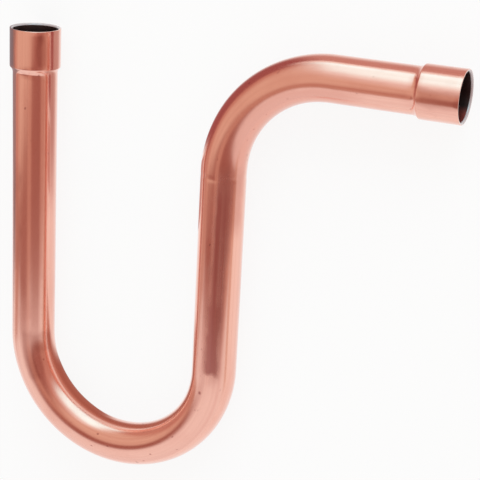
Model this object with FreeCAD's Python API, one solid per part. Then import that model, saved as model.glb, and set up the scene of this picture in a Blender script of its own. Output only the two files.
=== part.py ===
import FreeCAD, Part
import math
import os

from FreeCAD import Placement, Rotation, Vector

# A P-trap for a copper line, made from one length of drawn tube. Both ends are
# stretched into sockets, and the tube is then bent twice over the same former:
# half a turn for the trap, and a quarter turn the other way for the arm.
# It lies flat as it would on a bench. +Y runs up the inlet leg towards its
# mouth, +X runs out along the arm, and the origin is under the middle.

# Drawn tube
tube_outer_diameter = 15.875
tube_wall = 1.016

# Sockets, each of which takes the end of a tube of the same outer diameter
socket_clearance = 0.1
socket_wall = 1.0
socket_depth = 13.3
shoulder_length = 1.2
mouth_chamfer = 0.2

# Straight stretches of the centreline, each measured to where a bend starts
inlet_leg_length = 113.9
riser_length = 73.3
arm_length = 43.7

# Bends, in degrees anticlockwise seen from above, and the former's radius
trap_turn = 180.0
elbow_turn = -90.0
bend_radius = 37.2

tube_outer_radius = tube_outer_diameter / 2
tube_bore_radius = tube_outer_radius - tube_wall
socket_bore_radius = tube_outer_radius + socket_clearance / 2
socket_outer_radius = socket_bore_radius + socket_wall

# The shoulder between socket and tube is a short cone. Its outside starts this
# much further in than its inside, which keeps the wall even through the slope.
shoulder_slope = math.atan((socket_bore_radius - tube_bore_radius) / shoulder_length)
shoulder_offset = socket_wall * math.tan(shoulder_slope / 2)
socket_end_length = socket_depth + shoulder_length + shoulder_offset

UP = Vector(0, 0, 1)


def turned(vector, degrees):
    """The vector turned about the upright axis."""
    return Rotation(UP, degrees).multVec(vector)


def tube_section(centre, heading, seam_side):
    """The ring of the tube's wall, cut square across the centreline."""
    rings = []
    for radius in (tube_outer_radius, tube_bore_radius):
        circle = Part.Circle(centre, heading, radius)
        circle.XAxis = seam_side
        rings.append(Part.Wire([circle.toShape()]))
    return Part.Face(rings)


def straight_run(start, heading, length):
    """A straight run of the tube, with the point at which it ends."""
    run = tube_section(start, heading, turned(heading, 90)).extrude(heading * length)
    return run, start + heading * length


def bent_run(start, heading, turn):
    """A bend of the tube, with the point and the heading at which it ends.

    The surface's seam runs along the inside of the bend, where it is shortest.
    """
    towards_axis = turned(heading, math.copysign(90, turn))
    axis = start + towards_axis * bend_radius
    run = tube_section(start, heading, towards_axis).revolve(axis, UP, turn)
    return run, axis + turned(start - axis, turn), turned(heading, turn)


def socket_end(mouth, inward):
    """A stretched end: a mouth with its edges broken, a deep cup, and the shoulder.

    A tube pushed into the cup stops at the inside of the shoulder.
    """
    outline = [
        (socket_bore_radius + mouth_chamfer, 0),
        (socket_outer_radius - mouth_chamfer, 0),
        (socket_outer_radius, mouth_chamfer),
        (socket_outer_radius, socket_depth + shoulder_offset),
        (tube_outer_radius, socket_end_length),
        (tube_bore_radius, socket_end_length),
        (tube_bore_radius, socket_depth + shoulder_length),
        (socket_bore_radius, socket_depth),
        (socket_bore_radius, mouth_chamfer),
    ]
    corners = [Vector(radius, 0, depth) for radius, depth in outline]
    wall = Part.Face(Part.makePolygon(corners + corners[:1]))
    end = wall.revolve(Vector(0, 0, 0), UP, 360)
    end.Placement = Placement(mouth, Rotation(UP, inward))
    return end


def trap_tube():
    """The whole tube, walked along its centreline from the inlet to the outlet."""
    inlet_mouth = Vector(0, 0, 0)
    down_the_leg = Vector(0, -1, 0)
    inlet_socket = socket_end(inlet_mouth, down_the_leg)
    leg_start = inlet_mouth + down_the_leg * socket_end_length
    leg, leg_end = straight_run(leg_start, down_the_leg, inlet_leg_length - socket_end_length)

    trap_bend, trap_end, up_the_riser = bent_run(leg_end, down_the_leg, trap_turn)
    riser, riser_end = straight_run(trap_end, up_the_riser, riser_length)
    elbow, elbow_end, along_the_arm = bent_run(riser_end, up_the_riser, elbow_turn)

    arm, arm_end = straight_run(elbow_end, along_the_arm, arm_length - socket_end_length)
    outlet_mouth = arm_end + along_the_arm * socket_end_length
    outlet_socket = socket_end(outlet_mouth, along_the_arm * -1)

    stretches = [leg, trap_bend, riser, elbow, arm, outlet_socket]
    tube = inlet_socket.fuse(stretches).removeSplitter().Solids[0]
    box = tube.optimalBoundingBox(False, False)
    tube.translate(Vector(-box.Center.x, -box.Center.y, -box.ZMin))
    return tube


os.makedirs("parts", exist_ok=True)
trap_tube().exportStep("parts/trap_tube.step")
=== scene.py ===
import math

import bmesh
import bpy
from mathutils import Matrix, Vector


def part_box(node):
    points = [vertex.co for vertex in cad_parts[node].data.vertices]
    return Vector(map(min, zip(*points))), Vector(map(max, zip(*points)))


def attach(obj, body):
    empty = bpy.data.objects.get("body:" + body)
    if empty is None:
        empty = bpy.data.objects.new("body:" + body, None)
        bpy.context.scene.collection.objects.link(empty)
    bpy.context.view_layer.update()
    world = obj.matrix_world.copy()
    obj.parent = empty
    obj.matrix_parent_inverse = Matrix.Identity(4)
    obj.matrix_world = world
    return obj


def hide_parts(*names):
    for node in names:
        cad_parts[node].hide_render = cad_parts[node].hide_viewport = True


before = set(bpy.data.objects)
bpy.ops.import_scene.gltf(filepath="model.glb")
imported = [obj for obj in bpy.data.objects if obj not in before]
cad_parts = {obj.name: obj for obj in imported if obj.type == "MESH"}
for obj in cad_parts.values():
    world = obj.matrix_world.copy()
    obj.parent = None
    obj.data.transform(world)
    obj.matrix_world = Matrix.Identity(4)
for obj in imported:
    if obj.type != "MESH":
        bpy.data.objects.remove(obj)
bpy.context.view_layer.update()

# ---------------------------------------------------------------- the trap tube
# One length of drawn copper tube, the whole of the trap. Both ends are stretched
# into solder sockets on a punch, and the straight tube is then bent over a former:
# a quarter turn for the arm and half a turn for the trap.
MM = 0.001
TUBE_OUTER_RADIUS = 7.9375 * MM
TUBE_BORE_RADIUS = 6.9215 * MM
SOCKET_BORE_RADIUS = 7.9875 * MM
SOCKET_OUTER_RADIUS = 8.9875 * MM
SOCKET_DEPTH = 13.3 * MM
SHOULDER_LENGTH = 1.2 * MM
# a shoulder starts this much further in on its outside, which keeps the wall even
SHOULDER_OFFSET = 0.38 * MM

LEG_LENGTH = 113.9 * MM
RISER_LENGTH = 73.3 * MM
ARM_LENGTH = 43.7 * MM
BEND_RADIUS = 37.2 * MM
TRAP_TURN = math.radians(180)
ELBOW_TURN = math.radians(-90)
TRAP_END = LEG_LENGTH + BEND_RADIUS * TRAP_TURN
RISER_END = TRAP_END + RISER_LENGTH
TUBE_LENGTH = RISER_END + BEND_RADIUS * abs(ELBOW_TURN) + ARM_LENGTH

tube_low, tube_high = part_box("trap_tube")
INLET_MOUTH = Vector((
    tube_high.x - ARM_LENGTH - 3 * BEND_RADIUS,
    tube_low.y + TUBE_OUTER_RADIUS + BEND_RADIUS + LEG_LENGTH,
    SOCKET_OUTER_RADIUS,
))
ALONG = Vector((0, -1, 0))
UP = Vector((0, 0, 1))

# The wall's outline at an end, from the bore round the mouth to the outside: distance
# from the axis, distance from the mouth, and how far back the corner is rounded
END_CORNERS = [
    (TUBE_BORE_RADIUS, SOCKET_DEPTH + SHOULDER_LENGTH, 0.5 * MM),
    (SOCKET_BORE_RADIUS, SOCKET_DEPTH, 0.25 * MM),
    (SOCKET_BORE_RADIUS, 0, 0.65 * MM),
    (SOCKET_OUTER_RADIUS, 0, 0.2 * MM),
    (SOCKET_OUTER_RADIUS, SOCKET_DEPTH + SHOULDER_OFFSET, 0.25 * MM),
    (TUBE_OUTER_RADIUS, SOCKET_DEPTH + SHOULDER_LENGTH + SHOULDER_OFFSET, 0.9 * MM),
]
# The bender's clamp leaves a shallow groove round the top of the riser
CLAMP_MARK = RISER_END - 1.0 * MM
CLAMP_MARK_WIDTH = 2.4 * MM
CLAMP_MARK_DEPTH = 0.07 * MM
CLAMP_MARK_ROUNDING = 0.45 * MM
RING_PITCH = 1.8 * MM
POINTS_ROUND = 96


def straight_tube(bm):
    """The tube before bending, spun from the outline of its wall."""
    corners = list(END_CORNERS)
    for part, sunk in ((-0.5, 0), (0, CLAMP_MARK_DEPTH), (0.5, 0)):
        corners.append((TUBE_OUTER_RADIUS - sunk, CLAMP_MARK + part * CLAMP_MARK_WIDTH, CLAMP_MARK_ROUNDING))
    for radius, depth, rounding in reversed(END_CORNERS):
        corners.append((radius, TUBE_LENGTH - depth, rounding))
    outline = []
    for radius, depth, _ in corners:
        outline.append(bm.verts.new(INLET_MOUTH + Vector((radius, 0, 0)) + ALONG * depth))
    bm.faces.new(outline)
    for corner, (_, _, rounding) in zip(outline, corners):
        bmesh.ops.bevel(bm, geom=[corner], affect="VERTICES", offset=rounding, offset_type="OFFSET",
                        segments=3, profile=0.5, material=-1)
    bmesh.ops.delete(bm, geom=bm.faces[:], context="FACES_ONLY")
    for edge in bm.edges[:]:
        cuts = int(edge.calc_length() / RING_PITCH)
        if cuts:
            bmesh.ops.subdivide_edges(bm, edges=[edge], cuts=cuts)
    bmesh.ops.spin(bm, geom=bm.verts[:] + bm.edges[:], cent=INLET_MOUTH, axis=ALONG,
                   angle=2 * math.pi, steps=POINTS_ROUND, use_merge=True)
    bmesh.ops.remove_doubles(bm, verts=bm.verts[:], dist=1e-6)
    bmesh.ops.recalc_face_normals(bm, faces=bm.faces[:])


# A bend flattens the tube a little in its own plane and widens it across. The
# flattening comes on over the first part of the bend and fades before its end.
FLATTENING = 0.02
WIDENING = 0.01
ONSET = math.radians(25)


def eased(share):
    share = min(max(share, 0.0), 1.0)
    return share * share * (3 - 2 * share)


def bend(bm, start, turn):
    """Winds the tube past start round a former; what lies beyond the bend swings round with it."""
    towards_axis = Matrix.Rotation(math.copysign(math.pi / 2, turn), 3, UP) @ ALONG
    axis = start + towards_axis * BEND_RADIUS
    for vert in bm.verts:
        past = (vert.co - start).dot(ALONG)
        if past <= 0:
            continue
        wound = min(past / BEND_RADIUS, abs(turn))
        flat = eased(wound / ONSET) * eased((abs(turn) - wound) / ONSET)
        offset = vert.co - start - ALONG * past
        inward = offset.dot(towards_axis)
        offset -= towards_axis * inward * FLATTENING * flat
        offset += UP * offset.z * WIDENING * flat
        place = start + offset + ALONG * (past - wound * BEND_RADIUS)
        swing = Matrix.Rotation(math.copysign(wound, turn), 3, UP)
        vert.co = axis + swing @ (place - axis)


bm = bmesh.new()
straight_tube(bm)

# Draw marks and stains follow the straight tube: across it, along it, and up
drawn = bm.verts.layers.float_vector.new("drawn")
for vert in bm.verts:
    vert[drawn] = vert.co - INLET_MOUTH

# The faces that look at the axis are the bore. Past the lip, which the cutter left
# bright, they take a near-black material that is painted shade inside the tube
BRIGHT_LIP = 1.3 * MM
FACING_AXIS = -0.5
for face in bm.faces:
    face.smooth = True
    from_axis = face.calc_center_median() - INLET_MOUTH
    depth = min(-from_axis.y, TUBE_LENGTH + from_axis.y)
    from_axis.y = 0
    if face.normal.dot(from_axis.normalized()) < FACING_AXIS and depth > BRIGHT_LIP:
        face.material_index = 1

bend(bm, INLET_MOUTH + ALONG * RISER_END, ELBOW_TURN)
bend(bm, INLET_MOUTH + ALONG * LEG_LENGTH, TRAP_TURN)

tube_mesh = bpy.data.meshes.new("trap_tube_drawn")
bm.to_mesh(tube_mesh)
bm.free()
trap_tube = bpy.data.objects.new("trap_tube_drawn", tube_mesh)
bpy.context.scene.collection.objects.link(trap_tube)


def new_material(name):
    material = bpy.data.materials.new(name)
    material.use_nodes = True
    tree = material.node_tree
    return material, tree, tree.nodes["Principled BSDF"]


def add(tree, kind, settings=(), **inputs):
    """A new node, with its settings, and its inputs set or joined to another node's output.

    An input goes by its name, or by its number after an underscore.
    """
    node = tree.nodes.new(kind)
    for name, value in dict(settings).items():
        setattr(node, name, value)
    for name, value in inputs.items():
        socket = node.inputs[int(name[1:])] if name[1:].isdigit() else node.inputs[name.replace("_", " ")]
        if isinstance(value, bpy.types.NodeSocket):
            tree.links.new(value, socket)
        else:
            socket.default_value = value
    return node


def maths(tree, operation, *values):
    return add(tree, "ShaderNodeMath", {"operation": operation},
               **{"_%d" % index: value for index, value in enumerate(values)}).outputs[0]


def product(tree, first, *others):
    for other in others:
        first = maths(tree, "MULTIPLY", first, other)
    return first


def greatest(tree, first, *others):
    for other in others:
        first = maths(tree, "MAXIMUM", first, other)
    return first


def ramped(tree, value, low, high, to_low=0.0, to_high=1.0):
    """A soft step from one number to another, while the value goes from low to high."""
    node = add(tree, "ShaderNodeMapRange", {"interpolation_type": "SMOOTHSTEP"}, Value=value)
    for index, number in zip((1, 2, 3, 4), (low, high, to_low, to_high)):
        node.inputs[index].default_value = number
    return node.outputs[0]


def within(tree, *edges):
    """Full inside all the edges: each is a value, where it is still out, and where it is full."""
    return product(tree, *[ramped(tree, *edge) for edge in edges])


def mixed(tree, share, first, second):
    node = add(tree, "ShaderNodeMix", {"data_type": "RGBA"}, _0=share)
    for index, colour in ((6, first), (7, second)):
        if isinstance(colour, bpy.types.NodeSocket):
            tree.links.new(colour, node.inputs[index])
        else:
            node.inputs[index].default_value = (*colour, 1)
    return node.outputs[2]


def drawn_noise(tree, place, across, along, detail=3.0):
    """Noise with this many features to the metre across the tube and along it, from about 0 to 1."""
    scaled = add(tree, "ShaderNodeMapping", Vector=place, Scale=(across, along, across))
    noise = add(tree, "ShaderNodeTexNoise", Vector=scaled.outputs[0], Scale=1.0, Detail=detail, Roughness=0.55)
    return noise.outputs["Fac"]


def patch_cover(tree, spot, low, high, soft):
    """How far a patch covers the tube, from its low corner to its high one, soft at its edges. Most patches are
    stains; some are painted reflection.

    A corner is millimetres from the inlet's mouth and degrees round, 90 on top.
    """
    edges = []
    for value, first, last, half_edge in zip(spot, low, high, soft):
        edges.append((value, first - half_edge, first + half_edge))
        edges.append((value, last + half_edge, last - half_edge))
    return within(tree, *edges)


COPPER = (0.92, 0.49, 0.385)
HANDLED_COPPER = (0.80, 0.36, 0.275)
BROWN_AND_DARK_BAND_COPPER = (0.68, 0.30, 0.23)
GREY_REFLECTION_COPPER = (0.50, 0.32, 0.29)
FILM_AND_BAND_COPPER = (0.40, 0.105, 0.08)
CUT_COPPER = (0.52, 0.43, 0.43)

# Each place is a patch's low corner, its high corner, and half its edges' width
BROWN_AND_DARK_BAND_PLACES = [
    ((-5, 38), (13, 57), (1, 4)),  # the front of the inlet's socket
    ((50, 98), (88, 124), (6, 8)),  # the leg, left of its top
    ((113, 6), (121, 72), (2, 12)),  # where the trap's bend starts, on its inside
    ((112, 62), (133, 92), (2, 5)),  # and on its top
    ((284, 112), (306, 165), (5, 10)),  # the elbow's foot
    ((393, 71), (411, 108), (1.5, 6)),  # the top of the outlet's socket
]
INSIDE_OF_ELBOW = (286, 104), (372, 175), (6, 8)
INLET_SOCKET_LEFT = (-5, 108), (13.5, 150), (0.6, 4)
INLET_LIP_SPOT = (1, 42), (5, 54), (1.5, 5)
RISER_FILM_AND_BAND = (232, 45), (320, 85), (1.0, 9)
RISER_FILM_FOOT = (232, 91), (258, 120), (1.5, 6)
TRAP_SPECK = (223.6, 80), (224.6, 87), (0.5, 3)
# a patch's edge wanders by this many millimetres and degrees over the noise's range
WANDER_ALONG, WANDER_ROUND = 8, 22
# the film winds round by this many degrees for each millimetre along, and fades out
# between these distances
FILM_WINDING = -0.17
FILM_END = (314, 294)
# how strongly each patch covers the copper under it
HANDLED_SHARE, GREY_REFLECTION_SHARE, FILM_FOOT_SHARE, LIP_SPOT_SHARE, SPECK_SHARE = 0.85, 0.8, 0.6, 0.4, 0.7
# the reamer's cut ends this far in, in millimetres, and short of the lip's outer edge
CUT_DEPTH = (1.6, 1.2)
CUT_RADIUS = (8.72 * MM, 8.62 * MM)
DRAWN_ROUGHNESS = (0.15, 0.22)
FILM_ADDED_ROUGHNESS, CUT_ADDED_ROUGHNESS = 0.14, 0.2
FILM_METAL, CUT_METAL = 0.66, 0.3
BUMP_HEIGHT = 0.03 * MM

copper, tree, shader = new_material("drawn_copper")
place = add(tree, "ShaderNodeAttribute", {"attribute_name": "drawn"}).outputs["Vector"]
parts = add(tree, "ShaderNodeSeparateXYZ", Vector=place).outputs
draw_lines = drawn_noise(tree, place, 1100, 7)
wide_lines = drawn_noise(tree, place, 420, 5, detail=2)
blotches = drawn_noise(tree, place, 110, 45, detail=4)
wander = maths(tree, "SUBTRACT", drawn_noise(tree, place, 130, 90, detail=2), 0.5)
from_mouth = maths(tree, "MULTIPLY", parts["Y"], -1 / MM)
distance = maths(tree, "MULTIPLY_ADD", wander, WANDER_ALONG, from_mouth)
degrees = maths(tree, "DEGREES", maths(tree, "ARCTAN2", parts["Z"], parts["X"]))
degrees = maths(tree, "MULTIPLY_ADD", wander, WANDER_ROUND, degrees)
spot = (distance, degrees)

# handling darkens the copper along its draw lines and in blotches
colour = COPPER
for noise, start, most in ((draw_lines, 0.42, 0.4), (wide_lines, 0.52, 0.35), (blotches, 0.45, 0.5)):
    colour = mixed(tree, ramped(tree, noise, start, 0.72, 0, most), colour, HANDLED_COPPER)
handled = product(tree, patch_cover(tree, spot, *INSIDE_OF_ELBOW), HANDLED_SHARE)
colour = mixed(tree, handled, colour, HANDLED_COPPER)
# brown stains; on the leg and the outlet's socket they also paint in the dark band that the tube mirrors there, so
# they are partly painted reflection
brown_and_dark_band = greatest(tree, *[patch_cover(tree, spot, *stain) for stain in BROWN_AND_DARK_BAND_PLACES])
patchy = ramped(tree, blotches, 0.25, 0.6, 0.35, 0.8)
colour = mixed(tree, product(tree, brown_and_dark_band, patchy), colour, BROWN_AND_DARK_BAND_COPPER)
# painted reflection: the left of the inlet's socket is painted greyer, where it mirrors grey surroundings
grey_reflection = product(tree, patch_cover(tree, spot, *INLET_SOCKET_LEFT), GREY_REFLECTION_SHARE)
colour = mixed(tree, grey_reflection, colour, GREY_REFLECTION_COPPER)
# a dull purple-brown patch winds slowly round the riser and fades out below the groove:
# partly a film rubbed on by the bender's clamp, partly the painted crisp start of the dark band it mirrors
film_and_band_spot = (distance, maths(tree, "MULTIPLY_ADD", from_mouth, FILM_WINDING, degrees))
worn_lines = ramped(tree, wide_lines, 0.3, 0.62, 1.0, 0.75)
film_and_band = product(tree, patch_cover(tree, film_and_band_spot, *RISER_FILM_AND_BAND), ramped(tree, distance, *FILM_END), worn_lines)
colour = mixed(tree, film_and_band, colour, FILM_AND_BAND_COPPER)
# thinner traces of it lie at the film's foot and below the inlet's lip, and in specks
specks = ramped(tree, drawn_noise(tree, place, 560, 430, detail=1), 0.745, 0.80, 0, SPECK_SHARE)
traces = greatest(tree, specks, patch_cover(tree, (from_mouth, degrees), *TRAP_SPECK),
                  product(tree, patch_cover(tree, spot, *RISER_FILM_FOOT), FILM_FOOT_SHARE),
                  product(tree, patch_cover(tree, spot, *INLET_LIP_SPOT), LIP_SPOT_SHARE))
colour = mixed(tree, traces, colour, FILM_AND_BAND_COPPER)
# the reamer left the inside of each lip pale and matt, but not its outer edge
from_end = maths(tree, "MINIMUM", from_mouth, maths(tree, "SUBTRACT", TUBE_LENGTH / MM, from_mouth))
from_axis = add(tree, "ShaderNodeVectorMath", {"operation": "LENGTH"},
                _0=add(tree, "ShaderNodeCombineXYZ", X=parts["X"], Y=parts["Z"]).outputs[0]).outputs["Value"]
cut = within(tree, (from_end, *CUT_DEPTH), (from_axis, *CUT_RADIUS))
colour = mixed(tree, cut, colour, CUT_COPPER)
tree.links.new(colour, shader.inputs["Base Color"])

# the film and the cut lips are duller and less metallic than the drawn wall
metal = product(tree, ramped(tree, film_and_band, 0, 1, 1.0, FILM_METAL), ramped(tree, cut, 0, 1, 1.0, CUT_METAL))
tree.links.new(metal, shader.inputs["Metallic"])
roughness = ramped(tree, blotches, 0.3, 0.7, *DRAWN_ROUGHNESS)
roughness = maths(tree, "MULTIPLY_ADD", film_and_band, FILM_ADDED_ROUGHNESS, roughness)
roughness = maths(tree, "MULTIPLY_ADD", cut, CUT_ADDED_ROUGHNESS, roughness)
tree.links.new(roughness, shader.inputs["Roughness"])
# drawing oil leaves a thin clear coat
shader.inputs["Coat Weight"].default_value = 1.0
shader.inputs["Coat Roughness"].default_value = 0.1
shader.inputs["Coat IOR"].default_value = 1.5
# blotches stand out most, then the fine draw lines
height = maths(tree, "MULTIPLY_ADD", wide_lines, 0.6, draw_lines)
height = maths(tree, "MULTIPLY_ADD", blotches, 3.0, height)
bump = add(tree, "ShaderNodeBump", Strength=0.3, Distance=BUMP_HEIGHT, Height=height)
tree.links.new(bump.outputs[0], shader.inputs["Normal"])

# the bore is painted near black and mottled at random: painted shade inside the tube
DARK_BORE_SHADE = (0.04, 0.025, 0.025)
MOTTLED_BORE_SHADE = (0.09, 0.045, 0.04)
RED_OXIDE = (0.42, 0.09, 0.07)
# red oxide shows on one side of the outlet's bore, from this far across and along
OXIDE_SIDE = (-4 * MM, -7 * MM)
OXIDE_START = (-390 * MM, -400 * MM)
bore, tree, shader = new_material("bore_painted_shade")
place = add(tree, "ShaderNodeAttribute", {"attribute_name": "drawn"}).outputs["Vector"]
parts = add(tree, "ShaderNodeSeparateXYZ", Vector=place).outputs
colour = mixed(tree, drawn_noise(tree, place, 300, 60), DARK_BORE_SHADE, MOTTLED_BORE_SHADE)
reddened = within(tree, (parts["X"], *OXIDE_SIDE), (parts["Y"], *OXIDE_START))
colour = mixed(tree, reddened, colour, RED_OXIDE)
tree.links.new(colour, shader.inputs["Base Color"])
shader.inputs["Metallic"].default_value = 1
shader.inputs["Roughness"].default_value = 0.5

tube_mesh.materials.append(copper)
tube_mesh.materials.append(bore)
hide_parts("trap_tube")
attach(trap_tube, "root")

# -------------------------------------------------------------------- the table
# A wide white board that the trap lies on. Seen or mirrored it is nearly white by
# itself, and the little paint that still shows keeps the trap's shadow.
TABLE_RADIUS = 3.0
TABLE_PAINT = (0.85, 0.85, 0.85, 1)
TABLE_GLOW = 0.88
bm = bmesh.new()
bmesh.ops.create_circle(bm, cap_ends=True, segments=64, radius=TABLE_RADIUS)
table_mesh = bpy.data.meshes.new("table")
bm.to_mesh(table_mesh)
bm.free()
table = bpy.data.objects.new("table", table_mesh)
bpy.context.scene.collection.objects.link(table)
table_paint, tree, shader = new_material("table_paint")
tree.nodes.remove(shader)
rays = add(tree, "ShaderNodeLightPath").outputs
seen = greatest(tree, rays["Is Camera Ray"], rays["Is Glossy Ray"], rays["Is Transmission Ray"])
paint = add(tree, "ShaderNodeBsdfDiffuse", Color=TABLE_PAINT)
glow = add(tree, "ShaderNodeEmission", Color=(1, 1, 1, 1), Strength=1.0)
blend = add(tree, "ShaderNodeMixShader", Fac=product(tree, seen, TABLE_GLOW), _1=paint.outputs[0], _2=glow.outputs[0])
tree.links.new(blend.outputs[0], tree.nodes["Material Output"].inputs["Surface"])
table_mesh.materials.append(table_paint)

# --------------------------------------------------------------- the cloth round
# The table stands in a low tent of cloth, plain and lit from behind. The polished
# tube mirrors its tones in long bands.
WHITE_CLOTH = (0.93, 0.955, 0.97)
WARM_CLOTH = (0.76, 0.60, 0.51)
BROWN_CLOTH = (0.60, 0.335, 0.28)
LAMPLIT_CLOTH = (1.12, 1.95, 2.2)
# The cloth is warm, but for these parts of it, all in degrees: the direction from +X
# towards +Y, the height over the table, and how far round the part is full and gone
CLOTHS_ROUND = [
    (-95, 0, 50, 75, WHITE_CLOTH),
    (14, 2, 18, 36, BROWN_CLOTH),
    (160, -4, 30, 50, BROWN_CLOTH),
    (80, 10, 24, 50, LAMPLIT_CLOTH),
]
world = bpy.data.worlds.new("studio")
world.use_nodes = True
bpy.context.scene.world = world
tree = world.node_tree
background = tree.nodes["Background"]
direction = add(tree, "ShaderNodeTexCoord").outputs["Generated"]
colour = WARM_CLOTH
for azimuth, elevation, full, gone, cloth in CLOTHS_ROUND:
    azimuth, elevation = math.radians(azimuth), math.radians(elevation)
    towards = (math.cos(azimuth) * math.cos(elevation), math.sin(azimuth) * math.cos(elevation), math.sin(elevation))
    facing = add(tree, "ShaderNodeVectorMath", {"operation": "DOT_PRODUCT"}, _0=direction, _1=towards).outputs["Value"]
    share = ramped(tree, facing, math.cos(math.radians(gone)), math.cos(math.radians(full)))
    colour = mixed(tree, share, colour, cloth)
tree.links.new(colour, background.inputs["Color"])
background.inputs["Strength"].default_value = 1.0

# --------------------------------------------------------------- the tent's roof
# A wide sheet of cloth that hangs over the table. It is white before the trap, dark
# in a band right over it, and brown beyond, with the lamp's light on it.
DIM_CLOTH = (0.56, 0.33, 0.27)
DARK_CLOTH = (0.37, 0.16, 0.135)
ROOF_HEIGHT = 0.3
ROOF_THICKNESS = 0.001
ROOF_HALF_WIDTH = 1.5
# The lamp's light opens like a fan from a point beside the elbow. Each edge is the
# place or the angle where its tone is gone, and the one where it is full.
FAN_POINT = (0.04, 0.03)
FAN_RIGHT_EDGE, FAN_LEFT_EDGE = (0.30, 1.17), (2.37, 1.85)
FAN_START = (0.03, 0.21)
LAMPLIT_LEFT_EDGE = (2.25, 1.65)
LAMPLIT_START = (0.16, 0.46)
DARK_BAND_EDGE = (0.047, -0.035)
DARK_BAND_SLANT = -0.27
WHITE_CLOTH_EDGE = (-0.10, -0.175)


def cloth_sheet(name, low, high):
    """A thin upright or lying sheet that shows only as a reflection.

    Gives its material's tree, and the parts of the place on it, in metres.
    """
    bm = bmesh.new()
    bmesh.ops.create_cube(bm, size=1)
    bmesh.ops.scale(bm, verts=bm.verts[:], vec=[top - bottom for bottom, top in zip(low, high)])
    bmesh.ops.translate(bm, verts=bm.verts[:], vec=[(top + bottom) / 2 for bottom, top in zip(low, high)])
    mesh = bpy.data.meshes.new(name)
    bm.to_mesh(mesh)
    bm.free()
    sheet = bpy.data.objects.new(name, mesh)
    bpy.context.scene.collection.objects.link(sheet)
    cloth, tree, shader = new_material(name + "_cloth")
    tree.nodes.remove(shader)
    mesh.materials.append(cloth)
    for way in ("camera", "diffuse", "shadow", "transmission"):
        setattr(sheet, "visible_" + way, False)
    spot = add(tree, "ShaderNodeTexCoord").outputs["Object"]
    parts = add(tree, "ShaderNodeSeparateXYZ", Vector=spot).outputs
    return tree, parts["X"], parts["Y"], parts["Z"]


def glowing(tree, colour, share=1.0):
    """Ends the sheet's material: this colour, and see-through where share falls to 0."""
    if not isinstance(colour, bpy.types.NodeSocket):
        colour = (*colour, 1)
    glow = add(tree, "ShaderNodeEmission", Color=colour, Strength=1.0)
    clear = add(tree, "ShaderNodeBsdfTransparent")
    blend = add(tree, "ShaderNodeMixShader", Fac=share, _1=clear.outputs[0], _2=glow.outputs[0])
    tree.links.new(blend.outputs[0], tree.nodes["Material Output"].inputs["Surface"])


def from_point(tree, across, along, point):
    """Distance from a point on the sheet, and the angle in radians from +X towards +Y."""
    x, y = maths(tree, "SUBTRACT", across, point[0]), maths(tree, "SUBTRACT", along, point[1])
    reach = maths(tree, "SQRT", maths(tree, "ADD", product(tree, x, x), product(tree, y, y)))
    return reach, maths(tree, "ARCTAN2", y, x)


tree, across, along, _ = cloth_sheet(
    "tent_roof", (-ROOF_HALF_WIDTH, -ROOF_HALF_WIDTH, ROOF_HEIGHT),
    (ROOF_HALF_WIDTH, ROOF_HALF_WIDTH, ROOF_HEIGHT + ROOF_THICKNESS))
colour = mixed(tree, ramped(tree, across, -1.0, -0.3), BROWN_CLOTH, WARM_CLOTH)
colour = mixed(tree, ramped(tree, across, -0.06, 0.12), colour, BROWN_CLOTH)
# the lamp's light is white near the fan's point, and brighter further out
reach, turned = from_point(tree, across, along, FAN_POINT)
fan = within(tree, (turned, *FAN_RIGHT_EDGE), (turned, *FAN_LEFT_EDGE))
colour = mixed(tree, product(tree, fan, ramped(tree, reach, *FAN_START)), colour, WHITE_CLOTH)
lamplit = product(tree, fan, ramped(tree, turned, *LAMPLIT_LEFT_EDGE), ramped(tree, reach, *LAMPLIT_START))
colour = mixed(tree, lamplit, colour, LAMPLIT_CLOTH)
# the dark band slants over the trap, and is less dark over the leg and far to both sides
slanted = maths(tree, "MULTIPLY_ADD", maths(tree, "MINIMUM", across, 0.1), DARK_BAND_SLANT, along)
over_leg = ramped(tree, maths(tree, "ABSOLUTE", maths(tree, "ADD", across, 0.055)), 0.065, 0.03)
dim = greatest(tree, over_leg, ramped(tree, maths(tree, "ABSOLUTE", across), 0.28, 0.6))
dark = mixed(tree, dim, DARK_CLOTH, DIM_CLOTH)
colour = mixed(tree, ramped(tree, slanted, *DARK_BAND_EDGE), colour, dark)
# the white cloth comes nearest to the trap in the middle, and draws back to both sides
bow = greatest(tree, product(tree, across, 0.25), product(tree, across, -0.14),
               maths(tree, "MULTIPLY_ADD", across, -0.45, -0.14))
colour = mixed(tree, ramped(tree, maths(tree, "ADD", along, bow), *WHITE_CLOTH_EDGE), colour, WHITE_CLOTH)
glowing(tree, colour)

# -------------------------------------------------------------- the lying cards
# Cards on the table draw the tube's edges as mirrored tones. They lie in the trap's
# bend, round the elbow and the arm, and on both sides of the leg. Each soft edge is
# clear at the first place that is given and full at the second, in metres or radians.
CARD_THICKNESS = 0.1 * MM
CARD_HEIGHT = 0.3 * MM
ELBOW_CARD_HEIGHT = 0.6 * MM
BEND_CARD = (0.60, 0.32, 0.26)
BEND_CARD_BORDER = (0.43, 0.19, 0.15)
ELBOW_CARD = (0.37, 0.125, 0.125)
ARM_CARD = (0.62, 0.37, 0.34)
LEG_CARD = (0.36, 0.30, 0.32)
BETWEEN_CARD = (0.60, 0.44, 0.42)
BEND_AXIS = (-0.03596, -0.03718)
ELBOW_AXIS = (0.03844, 0.03613)


def lying_card(name, low, high, height=CARD_HEIGHT):
    tree, across, along, _ = cloth_sheet(name, (*low, height), (*high, height + CARD_THICKNESS))
    return tree, across, along


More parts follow.
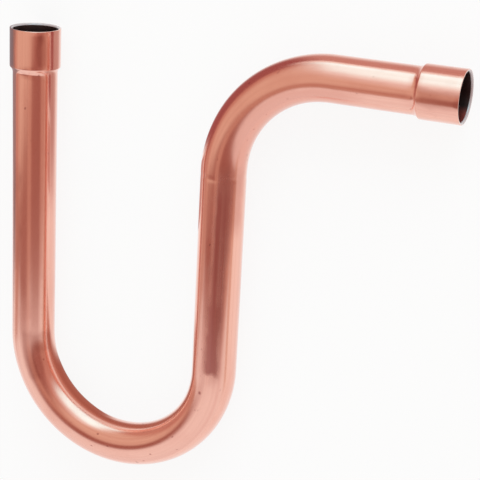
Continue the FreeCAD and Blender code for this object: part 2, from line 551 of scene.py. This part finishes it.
# in the left half of the bend, with a darker border, up to a slanting line
tree, across, along = lying_card("card_in_bend", (-0.0652, -0.0664), (-0.0067, 0.0))
reach, _ = from_point(tree, across, along, BEND_AXIS)
slanted = maths(tree, "MULTIPLY_ADD", across, -0.567, along)
disc = greatest(tree, ramped(tree, reach, 0.0275, 0.0225), ramped(tree, across, -0.040, -0.048))
share = product(tree, disc, within(tree, (across, -0.024, -0.040), (slanted, -0.007, -0.019)))
glowing(tree, mixed(tree, ramped(tree, reach, 0.010, 0.019), BEND_CARD, BEND_CARD_BORDER), share)

# in a broad band outside the elbow, dark red there and paler along the arm
tree, across, along = lying_card("card_round_elbow", (-0.045, 0.01), (0.10, 0.17), ELBOW_CARD_HEIGHT)
reach, turned = from_point(tree, maths(tree, "MINIMUM", across, ELBOW_AXIS[0]), along, ELBOW_AXIS)
share = within(tree, (reach, 0.046, 0.063), (reach, 0.15, 0.12), (turned, 3.12, 2.95))
glowing(tree, mixed(tree, ramped(tree, turned, 1.75, 2.1), ARM_CARD, ELBOW_CARD), share)

# a grey one to the left of the leg's upper part
tree, across, along = lying_card("card_by_leg", (-0.21, -0.08), (-0.083, 0.15))
slanted = maths(tree, "MULTIPLY_ADD", along, -0.31, across)
glowing(tree, LEG_CARD, within(tree, (slanted, -0.105, -0.116), (along, -0.08, -0.01)))

# and a pink one to its right, which fades out before the riser
tree, across, along = lying_card("card_between", (-0.0652, 0.0), (-0.025, 0.12))
glowing(tree, BETWEEN_CARD, within(tree, (across, -0.0645, -0.056), (across, -0.030, -0.052), (along, 0.0, 0.05)))

# ------------------------------------------------------------ the standing cards
# Two cards stand on edge on the table, to the left of the elbow and of the leg. The
# first shows from its right side only, so that the leg mirrors nothing of it.
tree, _, along, up = cloth_sheet("card_left_of_elbow", (-0.0451, 0.035, 0.0), (-0.045, 0.19, 0.026))
normal = add(tree, "ShaderNodeNewGeometry").outputs["Normal"]
facing_right = add(tree, "ShaderNodeSeparateXYZ", Vector=normal).outputs["X"]
share = within(tree, (facing_right, 0.4, 0.6), (along, 0.035, 0.055), (along, 0.185, 0.13), (up, 0.026, 0.016))
glowing(tree, ELBOW_CARD, share)

tree, _, along, up = cloth_sheet("card_left_of_leg", (-0.2101, -0.08, 0.0), (-0.21, 0.15, 0.04))
glowing(tree, LEG_CARD, within(tree, (along, -0.08, -0.01), (up, 0.034, 0.018)))

# ------------------------------------------------------------------ the softbox
# A large soft lamp on a stand beyond the elbow, turned to the trap. Reflections leave
# it out, and the tube mirrors the lit cloth in its place.
lamp = bpy.data.lights.new("softbox", "AREA")
lamp.shape = "RECTANGLE"
lamp.size, lamp.size_y = 0.8, 0.55
lamp.energy = 5
softbox = bpy.data.objects.new("softbox", lamp)
stand = Vector((0.17, 1.10, 0.45))
softbox.matrix_world = Matrix.Translation(stand) @ stand.to_track_quat("Z", "Y").to_matrix().to_4x4()
softbox.visible_glossy = False
bpy.context.scene.collection.objects.link(softbox)

# ------------------------------------------------------------------- the camera
# It looks down on the trap through a long lens, from a little to its right, at the
# photograph's angle.
camera_data = bpy.data.cameras.new("camera")
camera_data.sensor_width = 36
camera_data.lens = 109.379
camera_data.clip_start = 0.01
camera = bpy.data.objects.new("camera", camera_data)
camera.location = (0.19010, 0.17251, 0.44801)
camera.rotation_euler = [math.radians(angle) for angle in (-17.3148, 23.4287, 3.2180)]
bpy.context.scene.collection.objects.link(camera)
bpy.context.scene.camera = camera
bpy.context.scene.view_settings.view_transform = "Standard"
